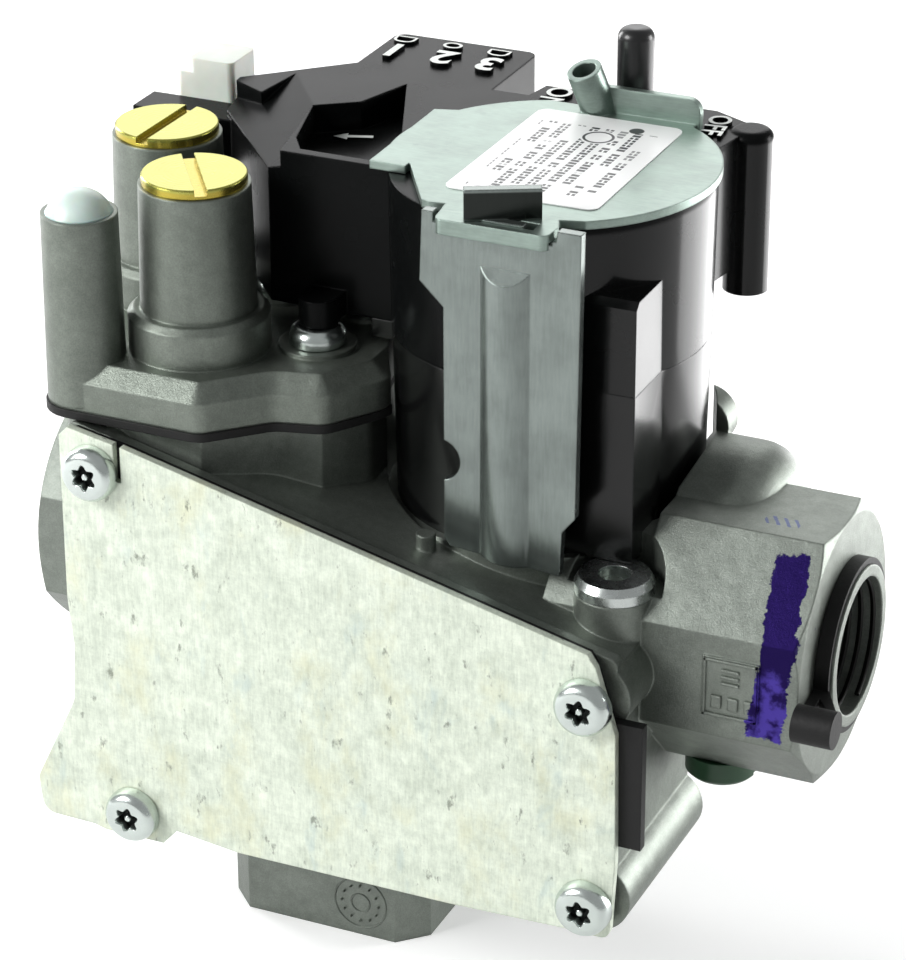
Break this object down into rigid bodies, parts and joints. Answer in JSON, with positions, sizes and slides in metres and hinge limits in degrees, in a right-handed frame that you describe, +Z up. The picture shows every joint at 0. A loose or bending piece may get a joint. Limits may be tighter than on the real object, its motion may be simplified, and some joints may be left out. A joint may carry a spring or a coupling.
{
  "type": "gas valve",
  "caption": "Combination gas control valve for a furnace: cast body with in-line threaded ports, twin pressure regulators, solenoid operator under a steel yoke and an on-off lever.",
  "frame": {"origin": "centre of the inlet mouth, on the pipe axis", "axes": "+X out of the inlet along the pipe axis, +Z up towards the operator, -Y towards the stamped front cover"},
  "size_m": [0.1235, 0.0815, 0.13],
  "materials": {
    "die_cast": "as-cast die casting, bead-blasted grain",
    "regulator_casting": "as-cast die casting",
    "zinc_plate": "bright zinc spangle",
    "yoke_steel": "zinc plated, satin",
    "screw_steel": "bright zinc",
    "gasket_rubber": "matt",
    "black_nylon": "fine spark-eroded texture",
    "lever_plastic": "satin",
    "brass": "turned",
    "white_nylon": "translucent nylon",
    "mint_rubber": "soft, translucent",
    "green_plug": "satin",
    "label": "semi-gloss film",
    "copper_winding": "taped winding",
    "spring_steel": "plain wire",
    "steel": "machined",
    "bobbin_nylon": "natural",
    "terminal_tin": "tinned"
  },
  "bodies": {
    "valve": {"closing_plate": "black_nylon", "coil_bobbin": "bobbin_nylon", "coil_winding": "copper_winding", "core_tube": "steel", "cover_screws": "screw_steel", "diaphragm_plate_front": "steel", "diaphragm_plate_rear": "steel", "foot_ferrule": "screw_steel", "front_cover_gasket": "gasket_rubber", "front_cover_plate": "zinc_plate", "inlet_band": "gasket_rubber", "inlet_screen": "steel", "label": "label", "nylon_connector": "white_nylon", "operator_base": "black_nylon", "operator_cover": "black_nylon", "regulator_cover": "regulator_casting", "regulator_diaphragm": "gasket_rubber", "regulator_screws": "screw_steel", "regulator_spring_front": "spring_steel", "regulator_spring_rear": "spring_steel", "servo_coil": "copper_winding", "terminal_left": "terminal_tin", "terminal_middle": "terminal_tin", "terminal_right": "terminal_tin", "underside_plug": "green_plug", "valve_body": "die_cast", "valve_seat": "brass", "vent_plug": "mint_rubber", "yoke_plate": "yoke_steel", "yoke_strap": "yoke_steel"},
    "lever": {"on_off_lever": "lever_plastic"},
    "main_plunger": {"main_plunger": "steel", "valve_disc": "gasket_rubber", "plunger_spring": "spring_steel", "chamber_spring": "spring_steel"},
    "servo_plunger": {"servo_plunger": "steel"},
    "cap_lift_front": {"cap_seal_front": "gasket_rubber"},
    "cap_front": {"brass_cap_front": "brass"},
    "adjuster_lift_front": {"spring_seat_front": "steel"},
    "adjuster_front": {"adjuster_front": "white_nylon"},
    "cap_lift_rear": {"cap_seal_rear": "gasket_rubber"},
    "cap_rear": {"brass_cap_rear": "brass"},
    "adjuster_lift_rear": {"spring_seat_rear": "steel"},
    "adjuster_rear": {"adjuster_rear": "white_nylon"}
  },
  "joints": [
    {"name": "lever_slide", "type": "slide", "parent": "valve", "child": "lever", "axis": [1, 0, 0], "range_m": [0, 0.0055]},
    {"name": "plunger_lift", "type": "slide", "parent": "valve", "child": "main_plunger", "axis": [0, 0, 1], "range_m": [0, 0.0025]},
    {"name": "servo_lift", "type": "slide", "parent": "valve", "child": "servo_plunger", "axis": [0, 0, 1], "range_m": [0, 0.0015]},
    {"name": "cap_front_lift", "type": "slide", "parent": "valve", "child": "cap_lift_front", "axis": [0, 0, 1], "range_m": [0, 0.00508]},
    {"name": "cap_front_turn", "type": "hinge", "parent": "cap_lift_front", "child": "cap_front", "pos_m": [-0.0952, -0.0128, 0.0586], "axis": [0, 0, 1], "range_deg": [0, 1443]},
    {"name": "adjuster_front_lift", "type": "slide", "parent": "valve", "child": "adjuster_lift_front", "axis": [0, 0, 1], "range_m": [-0.003, 0.003], "deforming": ["regulator_spring_front"]},
    {"name": "adjuster_front_turn", "type": "hinge", "parent": "adjuster_lift_front", "child": "adjuster_front", "pos_m": [-0.0952, -0.0128, 0.0466], "axis": [0, 0, 1], "range_deg": [-1083, 1083]},
    {"name": "cap_rear_lift", "type": "slide", "parent": "valve", "child": "cap_lift_rear", "axis": [0, 0, 1], "range_m": [0, 0.00508]},
    {"name": "cap_rear_turn", "type": "hinge", "parent": "cap_lift_rear", "child": "cap_rear", "pos_m": [-0.108, 0.0031, 0.0586], "axis": [0, 0, 1], "range_deg": [0, 1443]},
    {"name": "adjuster_rear_lift", "type": "slide", "parent": "valve", "child": "adjuster_lift_rear", "axis": [0, 0, 1], "range_m": [-0.003, 0.003], "deforming": ["regulator_spring_rear"]},
    {"name": "adjuster_rear_turn", "type": "hinge", "parent": "adjuster_lift_rear", "child": "adjuster_rear", "pos_m": [-0.108, 0.0031, 0.0466], "axis": [0, 0, 1], "range_deg": [-1083, 1083]}
  ],
  "couplings": [
    {"joint": "cap_front_turn", "follows": "cap_front_lift", "rad_per_m": 4947.4},
    {"joint": "adjuster_front_turn", "follows": "adjuster_front_lift", "rad_per_m": 6283.2},
    {"joint": "cap_rear_turn", "follows": "cap_rear_lift", "rad_per_m": 4947.4},
    {"joint": "adjuster_rear_turn", "follows": "adjuster_rear_lift", "rad_per_m": 6283.2}
  ]
}
